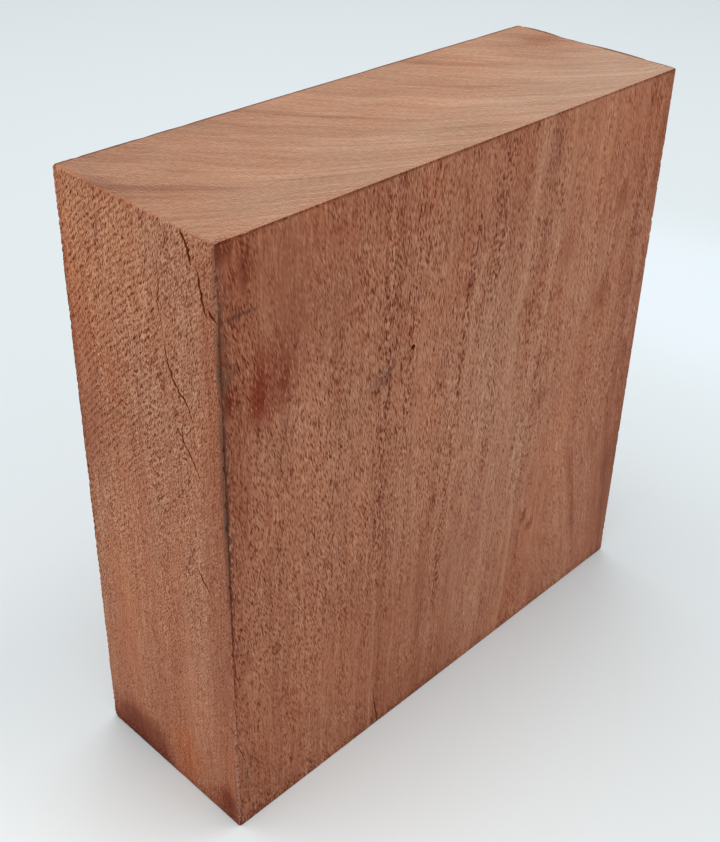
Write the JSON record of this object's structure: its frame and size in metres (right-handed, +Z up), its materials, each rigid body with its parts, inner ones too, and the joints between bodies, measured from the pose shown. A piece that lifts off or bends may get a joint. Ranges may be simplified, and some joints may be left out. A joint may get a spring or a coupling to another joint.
{
  "type": "wood turning blank",
  "caption": "Square mahogany block with one planed face and sawn edges, ready to mount on a lathe and turn into a bowl.",
  "frame": {"origin": "centre of the bottom end, the end grain that the block stands on", "axes": "+Z up along the wood's fibres, -Y out of the planed face, +Y out of the back, -X out of the sawn edge with the tooth marks and drying checks, +X out of the wavy edge"},
  "size_m": [0.1524, 0.0508, 0.1562],
  "materials": {
    "mahogany": "dry, unfinished open-pored wood, planed on its large face and sawn on its edges"
  },
  "bodies": {
    "root": {"blank": "mahogany"}
  },
  "joints": []
}
